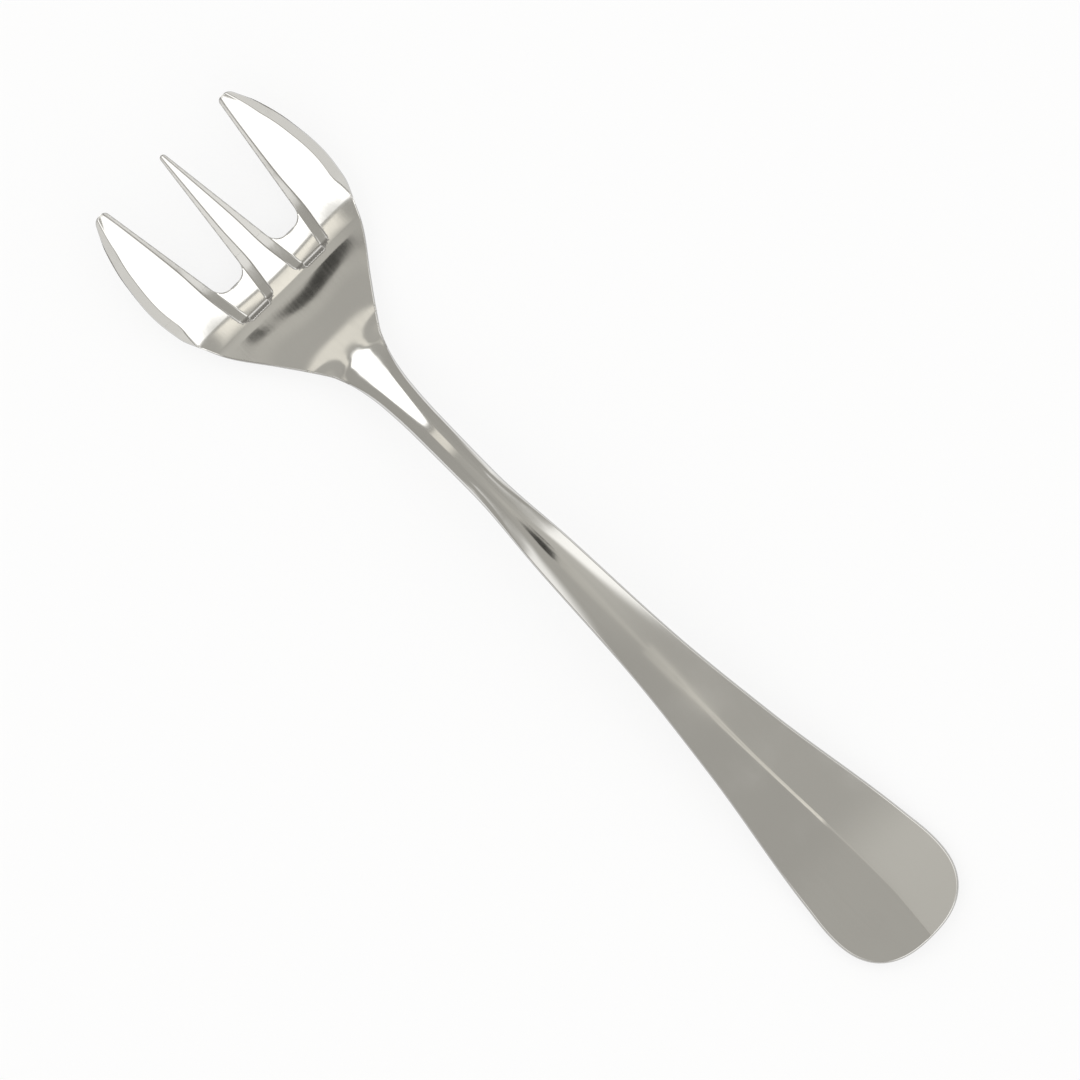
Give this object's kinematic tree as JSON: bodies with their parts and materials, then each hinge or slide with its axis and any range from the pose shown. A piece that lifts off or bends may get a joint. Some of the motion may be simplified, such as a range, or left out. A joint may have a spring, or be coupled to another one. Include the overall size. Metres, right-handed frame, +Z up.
{
  "type": "oyster fork",
  "caption": "Short table fork with broad bevelled outer tines, a dished head, a round arched neck and a flared handle with a ridge along its front.",
  "frame": {"origin": "middle of the fork's box, on the table that it lies on", "axes": "+X along the fork towards the tips of the tines, +Y towards the left tine, +Z up from the table, out of the hollow side of the head"},
  "size_m": [0.15, 0.0328, 0.0115],
  "materials": {
    "steel": "polished stainless steel"
  },
  "bodies": {
    "root": {"handle": "steel", "neck": "steel", "head": "steel", "tine_left": "steel", "tine_middle": "steel", "tine_right": "steel"}
  },
  "joints": []
}
